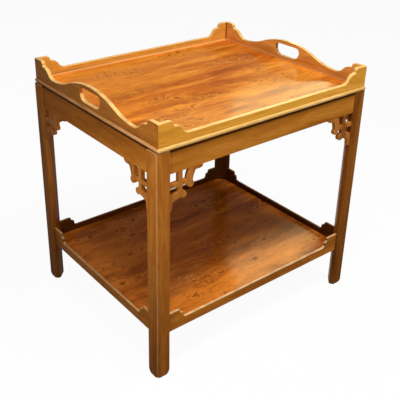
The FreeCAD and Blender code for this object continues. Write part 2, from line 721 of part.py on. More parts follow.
block_places = []
for turn in CORNERS.values():
    turned = FreeCAD.Rotation(Z_AXIS, turn)
    diagonal = turned.multVec(FreeCAD.Rotation(Z_AXIS, MITRE).multVec(X_AXIS))
    corner_place = turned.multVec(spot(f"-{span(turn)} / 2", f"-{span((turn + 90) % FULL_TURN)} / 2",
                                       BLOCK_SCREW_HEIGHT))
    block_places.append((corner_place + diagonal * value(BLOCK_FACE), diagonal * -1))
screw_group("corner_block_screws", "block_screw_length", block_places)

gallery_places = []
for turn in SIDES.values():
    turned = FreeCAD.Rotation(Z_AXIS, turn)
    for along, inward in gallery_screws(turn):
        edge_line = f"-({TRAY_HALF[(turn + 90) % FULL_TURN]} - {inward})"
        gallery_places.append((turned.multVec(spot(along, edge_line, "frame_height")), Z_AXIS))
screw_group("gallery_screws", "gallery_screw_length", gallery_places)

batten_places = [(spot(x, y, "frame_height - batten_thickness"), Z_AXIS) for x, y in batten_screws()]
screw_group("batten_screws", "batten_screw_length", batten_places)

# Every object has to be sound before anything is written.
doc.recompute()
for item in doc.Objects:
    if "Invalid" in item.State or "Error" in item.State:
        raise RuntimeError(f"{item.Label} failed: {item.State}")
for node in nodes:
    if node.Shape.isNull() or not node.Shape.isValid() or not node.Shape.Solids:
        raise RuntimeError(f"{node.Label} has no sound shape")

os.makedirs("parts", exist_ok=True)
for node in nodes:
    node.Shape.exportStep(f"parts/{node.Label}.step")
print(len(nodes), "nodes,", sum(len(node.Shape.Solids) for node in nodes), "solids")
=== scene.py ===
"""Side table with a lift-off tray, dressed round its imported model. Lengths are in metres."""
import json
import math

import bmesh
import bpy
from mathutils import Matrix, Vector

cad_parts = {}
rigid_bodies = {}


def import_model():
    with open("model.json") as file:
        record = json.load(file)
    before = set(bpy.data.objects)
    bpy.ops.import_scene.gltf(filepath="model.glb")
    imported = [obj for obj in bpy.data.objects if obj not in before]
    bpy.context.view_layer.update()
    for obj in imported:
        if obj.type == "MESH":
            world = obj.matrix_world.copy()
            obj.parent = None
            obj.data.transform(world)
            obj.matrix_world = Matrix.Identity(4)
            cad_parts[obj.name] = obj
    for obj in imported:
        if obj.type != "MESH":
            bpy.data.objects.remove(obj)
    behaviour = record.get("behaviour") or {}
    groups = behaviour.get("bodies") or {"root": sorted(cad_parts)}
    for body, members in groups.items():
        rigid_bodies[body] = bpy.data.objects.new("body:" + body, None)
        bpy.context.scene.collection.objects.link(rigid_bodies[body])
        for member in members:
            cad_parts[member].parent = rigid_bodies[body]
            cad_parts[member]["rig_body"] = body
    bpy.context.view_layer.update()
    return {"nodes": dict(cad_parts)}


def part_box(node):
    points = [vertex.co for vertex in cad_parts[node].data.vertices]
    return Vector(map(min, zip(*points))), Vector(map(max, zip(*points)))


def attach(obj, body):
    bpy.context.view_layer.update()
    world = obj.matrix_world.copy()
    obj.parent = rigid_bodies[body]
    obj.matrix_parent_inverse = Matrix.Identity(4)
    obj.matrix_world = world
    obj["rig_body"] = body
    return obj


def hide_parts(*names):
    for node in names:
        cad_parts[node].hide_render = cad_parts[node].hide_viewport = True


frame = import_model()


# The camera stands at the table's near left corner, a little above it and looking down, where the
# photograph was taken from. The tip is the small sideways lean with which it was held. Angles are in
# degrees, and a camera that isn't turned looks straight down.
CAMERA_PLACE = (-0.9497, -1.1631, 1.0780)
CAMERA_TURN = 38.613
CAMERA_DROP = 25.105
CAMERA_TIP = 1.043
LEVEL_GAZE = 90.0
LENS = 61.353
SENSOR = 36.0
SHIFT = (0.0217, -0.125)

camera = bpy.data.objects.new("camera", bpy.data.cameras.new("camera"))
bpy.context.scene.collection.objects.link(camera)
camera.data.sensor_width = SENSOR
camera.data.lens = LENS
camera.data.shift_x, camera.data.shift_y = SHIFT
camera.matrix_world = (
    Matrix.Translation(CAMERA_PLACE)
    @ Matrix.Rotation(math.radians(-CAMERA_TURN), 4, "Z")
    @ Matrix.Rotation(math.radians(LEVEL_GAZE - CAMERA_DROP), 4, "X")
    @ Matrix.Rotation(math.radians(CAMERA_TIP), 4, "Z")
)
bpy.context.scene.camera = camera
bpy.context.scene.view_settings.view_transform = "Standard"


# The studio is a wide pale floor under a white surround, which shows as plain white behind the table and
# keeps the table's soft shadow on the floor. The surround lights the table only as a faint fill.
WHITE = (1.0, 1.0, 1.0)
FILL_COLOUR = (1.0, 0.97, 0.93)
FILL_LEVEL = 0.038
FLOOR_COLOUR = (0.36, 0.35, 0.34)
FLOOR_WHITENESS = 0.95
FLOOR_HALF = 20.0
FLOOR_DROP = 0.0004


class Nodes:
    """The shader nodes of a material or a world, with short calls that make them and join them up."""

    def __init__(self, owner):
        owner.use_nodes = True
        self.tree = owner.node_tree
        self.tree.nodes.clear()

    def add(self, kind, feeds=None, **settings):
        """A new node. Each feed is a number, a place, a colour or the output of another node."""
        made = self.tree.nodes.new(kind)
        for key, setting in settings.items():
            setattr(made, key, setting)
        for key, feed in (feeds or {}).items():
            socket = made.inputs[key]
            if isinstance(feed, bpy.types.NodeSocket):
                self.tree.links.new(feed, socket)
            elif socket.type == "RGBA":
                socket.default_value = (*feed, 1.0)
            else:
                socket.default_value = feed
        return made

    def maths(self, operation, first, second=0.0):
        """The result of one sum."""
        return self.add("ShaderNodeMath", {0: first, 1: second}, operation=operation).outputs[0]

    def tinted(self, share, first, second, kind="MIX"):
        """The first colour, with a share of the second mixed or multiplied in."""
        feeds = {0: share, 6: first, 7: second}
        return self.add("ShaderNodeMix", feeds, data_type="RGBA", blend_type=kind).outputs[2]

    def blended(self, share, first, second):
        """The first shader, with a share of the second."""
        return self.add("ShaderNodeMixShader", {0: share, 1: first, 2: second}).outputs[0]


def seen_directly(nodes):
    """1 for rays that come from the camera or from a gloss or glass surface, and otherwise 0."""
    rays = nodes.add("ShaderNodeLightPath").outputs
    camera_or_gloss = nodes.maths("MAXIMUM", rays["Is Camera Ray"], rays["Is Glossy Ray"])
    return nodes.maths("MAXIMUM", camera_or_gloss, rays["Is Transmission Ray"])


surround = bpy.data.worlds.new("surround")
bpy.context.scene.world = surround
sky = Nodes(surround)
fill = sky.add("ShaderNodeBackground", {"Color": FILL_COLOUR, "Strength": FILL_LEVEL}).outputs[0]
white = sky.add("ShaderNodeBackground", {"Color": WHITE}).outputs[0]
sky.add("ShaderNodeOutputWorld", {0: sky.blended(seen_directly(sky), fill, white)})

floor_form = bmesh.new()
bmesh.ops.create_grid(floor_form, x_segments=1, y_segments=1, size=FLOOR_HALF)
floor_mesh = bpy.data.meshes.new("studio_floor")
floor_form.to_mesh(floor_mesh)
floor_form.free()
floor = bpy.data.objects.new("studio_floor", floor_mesh)
floor.location.z = -FLOOR_DROP
bpy.context.scene.collection.objects.link(floor)

floor_paint = bpy.data.materials.new("studio_floor")
ground = Nodes(floor_paint)
seen = seen_directly(ground)
matt = ground.add("ShaderNodeBsdfDiffuse", {"Color": ground.tinted(seen, FLOOR_COLOUR, WHITE)}).outputs[0]
glow = ground.add("ShaderNodeEmission", {"Color": WHITE}).outputs[0]
whitened = ground.blended(ground.maths("MULTIPLY", seen, FLOOR_WHITENESS), matt, glow)
ground.add("ShaderNodeOutputMaterial", {0: whitened})
floor_mesh.materials.append(floor_paint)


# Soft lamps light it: two high in front, three smaller ones low in front and at the near left corner, and
# one low behind. A half-curtained window behind on the right lights nothing, and only its pale reflection
# lies on the tray and the shelf. Each lamp has a place, an aim, a size, a power in watts and a colour.
MIDDLE = (0.0, 0.0, 0.45)
HIGH_TINT = (1.0, 0.98, 0.95)
LOW_TINT = (1.0, 0.97, 0.93)
LAMPS = {
    "lamp_high_left": ((-0.50, -0.76, 2.35), MIDDLE, (0.60, 0.60), 20.0, HIGH_TINT),
    "lamp_high_right": ((0.36, -0.94, 2.35), MIDDLE, (0.60, 0.60), 25.5, HIGH_TINT),
    "lamp_low": ((0.41, -1.52, 0.73), MIDDLE, (0.50, 0.50), 4.4, LOW_TINT),
    "lamp_corner": ((-1.21, -1.01, 0.90), MIDDLE, (0.50, 0.50), 0.4, LOW_TINT),
    "lamp_near": ((-0.72, -0.38, 0.54), (-0.30, -0.22, 0.52), (0.20, 0.20), 1.7, LOW_TINT),
    "lamp_behind": ((-0.60, 2.60, 0.35), MIDDLE, (0.70, 0.70), 14.0, HIGH_TINT),
    "lamp_window": ((1.28, 0.92, 1.30), (1.28, -0.30, 1.20), (0.66, 0.42), 23.5, (0.86, 0.99, 0.52)),
    "lamp_curtain": ((0.725, 0.92, 1.30), (0.725, -0.30, 1.20), (0.45, 0.42), 6.0, (0.95, 0.94, 0.45)),
}
ONLY_REFLECTED = ("lamp_window", "lamp_curtain")

for name, (place, aim, size, watts, tint) in LAMPS.items():
    lamp = bpy.data.lights.new(name, "AREA")
    lamp.shape = "RECTANGLE"
    lamp.size, lamp.size_y = size
    lamp.energy = watts
    lamp.color = tint
    holder = bpy.data.objects.new(name, lamp)
    bpy.context.scene.collection.objects.link(holder)
    holder.visible_diffuse = name not in ONLY_REFLECTED
    turn = (Vector(place) - Vector(aim)).to_track_quat("Z", "Y")
    holder.matrix_world = Matrix.Translation(place) @ turn.to_matrix().to_4x4()


# The four legs are square lengths of solid wood, with the outer arris rounded over, the inner corner
# planed off and the foot rounded under. They stand on end, so the grain runs up them, and they are
# mortised for the rails. The inner faces of the one at the back right are painted nearly black as shade.
LEG_EASE = 0.0007
LONGEST_MORTISE = 0.048
FOOT_HIGH = 0.012
LEG_TOP_FROM = 0.53
ARRIS_REACH = 0.003
LEG_ARRIS_X, LEG_ARRIS_Y = (part - ARRIS_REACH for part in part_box("leg_back_right")[1][:2])
ROUND_ENOUGH = math.radians(32)
FLAT_ENOUGH = math.radians(0.6)
SAME_POINT = 2e-6
SLANTED = 0.2
LEVEL_ENOUGH = 0.4
INWARD = -0.1


def everything(_part):
    """Picks every edge or face."""
    return True


def nothing(_part):
    """Picks no edge and no face."""
    return False


def eased_copy(name, ease, picked=everything, rubbed_lit_too=nothing, shade_dark=nothing, rubbed_lit_share=1.0):
    """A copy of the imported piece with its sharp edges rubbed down, which then stands for it."""
    source = frame["nodes"][name]
    form = bmesh.new()
    form.from_mesh(source.data)
    bmesh.ops.remove_doubles(form, verts=form.verts, dist=SAME_POINT)
    bmesh.ops.dissolve_limit(form, angle_limit=FLAT_ENOUGH, verts=form.verts, edges=form.edges)
    form.normal_update()
    sharp = [edge for edge in form.edges if edge.is_manifold and edge.calc_face_angle() > ROUND_ENOUGH]
    rubbed_lit = bmesh.ops.bevel(form, geom=[edge for edge in sharp if picked(edge)], offset=ease,
                             offset_type="OFFSET", segments=2, profile=0.5, affect="EDGES",
                             clamp_overlap=True)["faces"]
    # Faces are marked for the rub, which is edge wear with a painted highlight, and for painted dark shade.
    worn_lit = form.faces.layers.float.new("worn_lit")
    shaded_dark = form.faces.layers.float.new("shaded_dark")
    form.normal_update()
    for face in form.faces:
        face.smooth = True
        face[worn_lit] = rubbed_lit_share if rubbed_lit_too(face) else 0.0
        face[shaded_dark] = 1.0 if shade_dark(face) else 0.0
    for face in rubbed_lit:
        if face.is_valid:
            face[worn_lit] = 1.0
    mesh = bpy.data.meshes.new(name + "_finished")
    form.to_mesh(mesh)
    form.free()
    mesh.set_sharp_from_angle(angle=ROUND_ENOUGH)
    piece = bpy.data.objects.new(name + "_finished", mesh)
    bpy.context.scene.collection.objects.link(piece)
    even = piece.modifiers.new("even_shading", "WEIGHTED_NORMAL")
    even.keep_sharp = True
    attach(piece, source["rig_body"])
    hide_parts(name)
    return piece


def long_arris(edge):
    """True for an edge longer than any mortise, and for the edges round the foot."""
    return edge.calc_length() > LONGEST_MORTISE or max(vert.co.z for vert in edge.verts) < FOOT_HIGH


def facing_in(face):
    """True for a face towards the middle of the table."""
    middle = face.calc_center_median()
    return face.normal.x * middle.x + face.normal.y * middle.y < INWARD


def arris_or_top(face):
    """True for the rounded outer arris of a leg and for the bevel round its top."""
    across, back, up = (abs(part) for part in face.normal)
    middle = face.calc_center_median()
    outer = min(abs(middle.x) - LEG_ARRIS_X, abs(middle.y) - LEG_ARRIS_Y) > 0
    return outer and min(across, back) > SLANTED or up > LEVEL_ENOUGH and middle.z > LEG_TOP_FROM


# How the wood is drawn. A scale is roughly a count of lumps in a metre, a reach is in metres, and a share
# runs from 0 to 1. A range is where a soft step starts and where it ends, in whatever it is read from.
AXES = {"x": 0, "y": 1, "z": 2}
WANDER_SCALE = 7.0
WANDER_REACH = 0.028
BAND_STOPS = (0.33, 0.50, 0.66)
YEARS = 64.0
YEAR_RANGE = (0.1, 1.0)
RING_SHARE = 0.22
STREAKS_TO_A_BAND = 8.0
DARK_STREAK_RANGE = (0.48, 0.72)
PALE_STREAK_RANGE = (0.50, 0.30)
PALE_STREAK_SHARE = 0.8
MOTTLE_SCALE = 40.0
MOTTLE_RANGE = (0.32, 0.60)
MOTTLE_SHARES = (0.52, 0.92)
SMEAR_SCALE = 55.0
SMEAR_RANGE = (0.3, 0.7)
SMEAR_SHARES = (0.85, 1.2)
SWELL_SCALE = 18.0
STREAK_HEIGHT_SHARE = 0.35
BUMP_STRENGTH = 0.25
BUMP_REACH = 0.0004
# Painted shade, nearly black, for inner faces that lie in shade.
INNER_PAINTED_SHADE = (0.03, 0.006, 0.001)
INNER_PAINTED_SHADE_SHARE = 0.86


class Wood(Nodes):
    """A wooden surface, its grain along one axis. Each call lays one more layer of colour on it."""

    def __init__(self, name, grain, pale, mid, dark, tone=1.0):
        self.paint = bpy.data.materials.new(name)
        super().__init__(self.paint)
        self.grain = AXES[grain]
        self.tone = tone
        self.pale, self.mid, self.dark = (self.toned(shade) for shade in (pale, mid, dark))
        self.where = self.add("ShaderNodeTexCoord").outputs["Object"]
        self.place = self.add("ShaderNodeSeparateXYZ", {0: self.where}).outputs
        drift = self.noise(self.where, WANDER_SCALE, detail=2.0)["Color"]
        self.wander = self.moved(self.where, drift, WANDER_REACH)

    def toned(self, shade):
        """A shade in this piece's own tone."""
        return tuple(self.tone * part for part in shade)

    def noise(self, vector, scale, detail, rough=0.55, distortion=0.0):
        """The outputs of soft noise."""
        feeds = {"Vector": vector, "Scale": scale, "Detail": detail, "Roughness": rough,
                 "Distortion": distortion}
        return self.add("ShaderNodeTexNoise", feeds).outputs

    def spread(self, value, low, high, to_low=0.0, to_high=1.0):
        """A soft step of a value from low to high."""
        feeds = {"Value": value, "From Min": low, "From Max": high, "To Min": to_low, "To Max": to_high}
        return self.add("ShaderNodeMapRange", feeds, interpolation_type="SMOOTHSTEP").outputs[0]

    def moved(self, vector, by, reach):
        """A place, moved by another vector times a reach."""
        feeds = {0: by, 1: (reach, reach, reach), 2: vector}
        return self.add("ShaderNodeVectorMath", feeds, operation="MULTIPLY_ADD").outputs[0]

    def along_grain(self, vector, stretch, shift=(0.0, 0.0, 0.0)):
        """A place whose length along the grain counts for less, so what is drawn there is drawn out."""
        sizes = [1.0, 1.0, 1.0]
        sizes[self.grain] = stretch
        feeds = {"Vector": vector, "Location": shift, "Scale": sizes}
        return self.add("ShaderNodeMapping", feeds, vector_type="POINT").outputs[0]

    def marked(self, mark):
        """The mark that eased_copy left on a face."""
        read = self.add("ShaderNodeAttribute", attribute_type="GEOMETRY", attribute_name=mark)
        return read.outputs["Fac"]

    def lay(self, shade, share, *masks, kind="MIX"):
        """Lays a share of a shade over the colour so far, where every mask lets it."""
        for mask in masks:
            share = self.maths("MULTIPLY", mask, share)
        self.colour = self.tinted(share, self.colour, shade, kind)

    def lay_bands(self, figure, stretch=0.075, shift=(0.0, 0.0, 0.0)):
        """Bands of dark, middling and pale wood, as many to the metre as the figure says."""
        self.figure = figure
        self.lengthwise = self.along_grain(self.wander, stretch, shift)
        self.bands = self.noise(self.lengthwise, figure, detail=4.0, rough=0.6, distortion=0.4)["Fac"]
        ramp = self.add("ShaderNodeValToRGB", {0: self.bands})
        stops = ramp.color_ramp.elements
        stops.new(BAND_STOPS[1])
        for stop, place, shade in zip(stops, BAND_STOPS, (self.dark, self.mid, self.pale)):
            stop.position = place
            stop.color = (*shade, 1.0)
        self.colour = ramp.outputs[0]

    def lay_streaks(self, streaks=0.5):
        """Year rings, as a wave that runs over the bands, and fine dark and pale streaks."""
        years = self.maths("SINE", self.maths("MULTIPLY", self.bands, YEARS))
        self.lay(self.dark, RING_SHARE, self.spread(years, *YEAR_RANGE))
        scale = self.figure * STREAKS_TO_A_BAND
        self.fine = self.noise(self.lengthwise, scale, detail=5.0, rough=0.7)["Fac"]
        self.lay(self.dark, streaks, self.spread(self.fine, *DARK_STREAK_RANGE))
        self.lay(self.pale, streaks * PALE_STREAK_SHARE, self.spread(self.fine, *PALE_STREAK_RANGE))

    def shade_along(self, start, end, shade):
        """Darkens the wood softly along its grain, from start to end."""
        self.lay(shade, self.spread(self.place[self.grain], start, end), kind="MULTIPLY")

    def lay_inner_shade(self):
        """Painted shade, nearly black, on the faces marked to be shaded dark."""
        self.lay(INNER_PAINTED_SHADE, INNER_PAINTED_SHADE_SHARE, self.marked("shaded_dark"))

    def rub_and_light_edges(self, rub_light):
        """Edge wear with a painted highlight, mottled, in one colour over the marked edges and faces."""
        mottle = self.noise(self.where, MOTTLE_SCALE, detail=3.0)["Fac"]
        self.lay(self.toned(rub_light), self.spread(mottle, *MOTTLE_RANGE, *MOTTLE_SHARES), self.marked("worn_lit"))

    def finished(self, gloss=0.26, shine=0.012):
        """The finished material, varnished or planed bare, in which the streaks can just be felt."""
        smears = self.noise(self.where, SMEAR_SCALE, detail=3.0)["Fac"]
        roughness = self.spread(smears, *SMEAR_RANGE, *(gloss * share for share in SMEAR_SHARES))
        swell = self.noise(self.where, SWELL_SCALE, detail=2.0)["Fac"]
        height = self.maths("ADD", self.maths("MULTIPLY", self.fine, STREAK_HEIGHT_SHARE), swell)
        feeds = {"Strength": BUMP_STRENGTH, "Distance": BUMP_REACH, "Height": height}
        relief = self.add("ShaderNodeBump", feeds).outputs[0]
        feeds = {"Base Color": self.colour, "Specular IOR Level": shine, "Roughness": roughness,
                 "Normal": relief}
        surface = self.add("ShaderNodeBsdfPrincipled", feeds).outputs[0]
        self.add("ShaderNodeOutputMaterial", {0: surface})
        return self.paint


LEG_WOOD = dict(pale=(0.58, 0.220, 0.034), mid=(0.46, 0.150, 0.020), dark=(0.27, 0.075, 0.010))
# The rub on the arris and the top bevel is edge wear with a painted highlight.
LEG_RUB_HIGHLIGHT = (0.50, 0.24, 0.09)
# Painted shade: each leg grows darker towards its foot.
LEG_FOOT_PAINTED_SHADE = dict(start=0.36, end=-0.05, shade=(0.74, 0.72, 0.72))
# Each leg's tone is partly its own wood and partly painted shade.
LEG_TONES_AND_SHADE = {"front_left": 0.86, "front_right": 0.62, "back_right": 0.95, "back_left": 0.70}
DARK_INSIDE = "back_right"
NEXT_LENGTH = (0.1, 0.2, 0.0)

for count, (corner, tone) in enumerate(LEG_TONES_AND_SHADE.items()):
    leg_wood = Wood("leg_wood_" + corner, "z", **LEG_WOOD, tone=tone)
    leg_wood.lay_bands(figure=34.0, shift=tuple(count * step for step in NEXT_LENGTH))
    leg_wood.lay_streaks()
    leg_wood.shade_along(**LEG_FOOT_PAINTED_SHADE)
    leg_wood.lay_inner_shade()
    leg_wood.rub_and_light_edges(LEG_RUB_HIGHLIGHT)
    leg = eased_copy("leg_" + corner, LEG_EASE, long_arris, arris_or_top,
                     facing_in if corner == DARK_INSIDE else nothing)
    leg.data.materials.append(leg_wood.finished(shine=0.005))


# Four plain frieze rails join the legs at the top. They are sawn boards, tenoned and glued into the legs
# a hair behind their faces, with the lower edges just taken off. Their tops are painted dark, a painted
# shadow of the tray's edge and painted shade in the gap under it.
FRIEZE_EASE = 0.0006
FRIEZE_WOOD = dict(pale=(0.59, 0.235, 0.032), mid=(0.49, 0.175, 0.020), dark=(0.31, 0.095, 0.010))
FRIEZE_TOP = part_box("frieze_rail_front")[1][2]
EASED_BELOW = FRIEZE_TOP - 0.010
# The rub on the rails' lower edges and on the frets is edge wear with a painted highlight.
RUBBED_HIGHLIGHT = (0.93, 0.60, 0.22)
# Painted shade: the tray edge's shadow and the gap under it, drawn dark on the rails and the bead.
GAP_SHADE = (0.055, 0.014, 0.001)
GAP_SHADE_DEPTH = {"x": 0.0070, "y": 0.0028}
GAP_SHADE_RANGE = (-0.0010, 0.0020)
GAP_SHADE_SHARE = 0.92
SHADOW_RANGE = (-0.016, 0.001)
SHADOW_SHARE = 0.22
# Painted shade: the end rails grow darker and redder towards the back.
BACK_END_PAINTED_SHADE = dict(start=-0.20, end=0.25, shade=(0.70, 0.58, 0.42))
SIDES = {"front": "x", "right": "y", "back": "x", "left": "y"}


def shade_top(wood, line):
    """A painted soft shadow and then painted dark shade in the gap under the tray, above a line."""
    for share, (start, end) in ((SHADOW_SHARE, SHADOW_RANGE), (GAP_SHADE_SHARE, GAP_SHADE_RANGE)):
        wood.lay(GAP_SHADE, share, wood.spread(wood.place[2], line + start, line + end))


def lower_edge(edge):
    """True for an edge that starts below the rail's top."""
    return edge.verts[0].co.z < EASED_BELOW


frieze_wood = {}
for grain, depth in GAP_SHADE_DEPTH.items():
    wood = Wood("frieze_wood_" + grain, grain, **FRIEZE_WOOD)
    wood.lay_bands(figure=26.0)
    wood.lay_streaks()
    if grain == "y":
        wood.shade_along(**BACK_END_PAINTED_SHADE)
    shade_top(wood, FRIEZE_TOP - depth)
    wood.rub_and_light_edges(RUBBED_HIGHLIGHT)
    frieze_wood[grain] = wood.finished(shine=0.006)
for side, grain in SIDES.items():
    rail = eased_copy("frieze_rail_" + side, FRIEZE_EASE, lower_edge)
    rail.data.materials.append(frieze_wood[grain])


# Two pierced brackets are glued under the frieze at each leg. Each is fretted from thin board with a fine
# saw, and the sawn edges are left a little rounder than the faces.
FRET_EASE = 0.0004
FRET_WOOD = dict(pale=(0.54, 0.215, 0.040), mid=(0.45, 0.160, 0.026), dark=(0.26, 0.080, 0.012))
ENDS = {"x": ("left", "right"), "y": ("front", "back")}

fret_wood = Wood("fret_wood", "z", **FRET_WOOD)
fret_wood.lay_bands(figure=40.0)
fret_wood.lay_streaks(0.35)
fret_wood.rub_and_light_edges(RUBBED_HIGHLIGHT)
fret_finish = fret_wood.finished()
for side, grain in SIDES.items():
    for end in ENDS[grain]:
        fret = eased_copy(f"fret_{side}_{end}", FRET_EASE)
        fret.data.materials.append(fret_finish)


# Corner blocks of bare softwood are glued and screwed inside the frieze, where they brace each corner.
# They are planed but not varnished.
BARE_WOOD = dict(pale=(0.72, 0.55, 0.34), mid=(0.62, 0.45, 0.26), dark=(0.47, 0.31, 0.16))
PLANED = dict(gloss=0.7, shine=0.2)


def give_finish(name, paint):
    """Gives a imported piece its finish, in the shape that it has."""
    slots = frame["nodes"][name].data.materials
    slots.clear()
    slots.append(paint)


block_wood = Wood("block_wood", "x", **BARE_WOOD)
block_wood.lay_bands(figure=50.0)
block_wood.lay_streaks()
block_finish = block_wood.finished(**PLANED)
for corner in LEG_TONES_AND_SHADE:
    give_finish("corner_block_" + corner, block_finish)


# The screws are zinc-plated steel, countersunk into the blocks, the tray's underside and its battens.
# The plating is a fine grey speckle, duller in some grains than in others.
ZINC = (0.60, 0.59, 0.56)
ZINC_DULL = (0.50, 0.48, 0.42)
SPECKLE_SCALE = 900.0
ZINC_ROUGHNESS = {"To Min": 0.25, "To Max": 0.55}

screw_steel = bpy.data.materials.new("screw_steel")
plating = Nodes(screw_steel)
speckle = plating.add("ShaderNodeTexNoise", {"Scale": SPECKLE_SCALE, "Detail": 3.0}).outputs["Fac"]
cloud = plating.add("ShaderNodeMapRange", {"Value": speckle, **ZINC_ROUGHNESS}).outputs[0]
steel = plating.add("ShaderNodeBsdfPrincipled", {"Base Color": plating.tinted(speckle, ZINC, ZINC_DULL),
                                                 "Metallic": 1.0, "Roughness": cloud})
plating.add("ShaderNodeOutputMaterial", {0: steel.outputs[0]})
for name in ("corner_block_screws", "gallery_screws", "batten_screws"):
    give_finish(name, screw_steel)


# The shelf is one veneered board, its grain along the table, with knots in clusters and patches of pale
# sapwood. It is let into a groove in the rails round it and cut away at its corners for the legs.
SHELF_WOOD = dict(pale=(0.86, 0.275, 0.032), mid=(0.57, 0.150, 0.014), dark=(0.27, 0.058, 0.005))
SHELF_KNOTS = dict(shade=(0.09, 0.018, 0.003), share=0.95)
SHELF_SAPWOOD = ((-0.19, -0.20, 0.10), (-0.02, -0.22, 0.09), (0.14, -0.21, 0.04), (-0.22, 0.05, 0.07))
VENEER_BANDS = dict(figure=22.0, stretch=0.15)

# How the knots and the sapwood of both veneers are drawn, in the same terms as the wood above.
CLUSTER_SCALE = 17.0
CLUSTER_STRETCH = 0.45
CLUSTER_PLACE = (0.31, 0.17, 0.0)
CLUSTER_RANGE = (0.52, 0.65)
SWIRL_SCALE = 45.0
SWIRL_REACH = 0.022
HALO = (0.42, 0.120, 0.018)
HALO_SHARE = 0.25
RAGGED_SCALE = 120.0
RAGGED_REACH = 0.012
KNOT_STRETCH = 0.45
KNOT_OFFSET = (0.013, 0.021)
KNOT_SIZES = ((62.0, 0.30, 0.35), (125.0, 0.27, 0.40))
KNOT_CHOICE = 0.4
RING_OUTER = (2.2, 1.3)
RING_INNER = (1.3, 0.8)
RING_PALE_SHARE = 0.5
SPOT_RANGE = (1.2, 0.1)
PATCH_SCALE = 9.0
PATCH_RAGGED = 0.16
PATCH_SQUASH = (0.6, 1.0, 0.0)
PATCH_CORE = 0.35
PATCH_SHARE = 0.55


def gather_knots(wood):
    """Where the knots crowd together. The grain swirls there, in whatever is drawn after this."""
    place = wood.along_grain(wood.where, CLUSTER_STRETCH, CLUSTER_PLACE)
    clusters = wood.spread(wood.noise(place, CLUSTER_SCALE, detail=1.0)["Fac"], *CLUSTER_RANGE)
    turning = wood.noise(wood.where, SWIRL_SCALE, detail=2.0)["Color"]
    swirl = wood.add("ShaderNodeVectorMath", {0: turning, "Scale": clusters}, operation="SCALE")
    wood.wander = wood.moved(wood.wander, swirl.outputs[0], SWIRL_REACH)
    return clusters


def lay_sapwood(wood, patches):
    """Paler patches with ragged edges. Each has its place on the board and the reach of its edge."""
    drift = wood.noise(wood.lengthwise, PATCH_SCALE, detail=3.0)["Color"]
    ragged = wood.moved(wood.where, drift, PATCH_RAGGED)
    middle = PATCH_RAGGED / 2
    for x, y, reach in patches:
        centre = (x + middle, y + middle, middle)
        apart = wood.add("ShaderNodeVectorMath", {0: ragged, 1: centre}, operation="SUBTRACT").outputs[0]
        feeds = {0: apart, 1: PATCH_SQUASH}
        flat = wood.add("ShaderNodeVectorMath", feeds, operation="MULTIPLY").outputs[0]
        far = wood.add("ShaderNodeVectorMath", {0: flat}, operation="LENGTH").outputs["Value"]
        wood.lay(wood.pale, PATCH_SHARE, wood.spread(far, reach, reach * PATCH_CORE))


def lay_knots(wood, clusters, shade, share):
    """Pin knots in the clusters, each a dark spot in a pale ring whose ranges are in radii.

    Each size has its scale, its radius in the cell that it may stand in, and the chance from which it does.
    """
    wood.lay(HALO, HALO_SHARE, clusters)
    drift = wood.noise(wood.where, RAGGED_SCALE, detail=2.0)["Color"]
    ragged = wood.moved(wood.wander, drift, RAGGED_REACH)
    for scale, radius, chosen_from in KNOT_SIZES:
        offset = (*(scale * part for part in KNOT_OFFSET), 0.0)
        feeds = {"Vector": wood.along_grain(ragged, KNOT_STRETCH, offset), "Scale": scale}
        cells = wood.add("ShaderNodeTexVoronoi", feeds, voronoi_dimensions="2D").outputs
        chance = wood.add("ShaderNodeSeparateColor", {0: cells["Color"]}).outputs[0]
        chosen = wood.spread(chance, chosen_from, chosen_from + KNOT_CHOICE)
        wanted = wood.maths("MULTIPLY", chosen, clusters)
        disc, hole, spot = (wood.spread(cells["Distance"], *(radius * part for part in step))
                            for step in (RING_OUTER, RING_INNER, SPOT_RANGE))
        wood.lay(wood.pale, RING_PALE_SHARE, wood.maths("SUBTRACT", disc, hole), wanted)
        wood.lay(shade, share, spot, wanted)


shelf_veneer = Wood("shelf_veneer", "x", **SHELF_WOOD)
shelf_clusters = gather_knots(shelf_veneer)
shelf_veneer.lay_bands(**VENEER_BANDS)
lay_sapwood(shelf_veneer, SHELF_SAPWOOD)
shelf_veneer.lay_streaks()
lay_knots(shelf_veneer, shelf_clusters, **SHELF_KNOTS)
give_finish("shelf_board", shelf_veneer.finished(gloss=0.13, shine=0.014))


# The shelf's rails are thin boards whose ends rise beside the legs in a stepped ear. They are stub-tenoned
# into the legs. Their upper edges are rubbed, pale with a painted highlight in front and on the left and
# dark with painted shade behind and on the right. Their inner faces are painted nearly black as shade.
SHELF_RAIL_EASE = 0.0011
SHELF_RAIL_WOOD = dict(pale=(0.60, 0.230, 0.028), mid=(0.49, 0.166, 0.018), dark=(0.29, 0.084, 0.009))
SHELF_RAIL_TONES = {"x": 1.0, "y": 0.78}
# Rub colours: a painted highlight in front and on the left, painted shade behind and on the right.
SHELF_RAIL_RUBS_LIT_AND_SHADED = {"front": (1.00, 0.72, 0.40), "right": (0.34, 0.13, 0.04),
                   "back": (0.30, 0.11, 0.03), "left": (0.90, 0.54, 0.24)}
SHELF_RAIL_RUB_LIGHT_SHARE = 0.70
FACING_UP = 0.25


def facing_up(face):
    """True for the sawn upper edge of a board, also where it is a curve."""
    return face.normal.z > FACING_UP


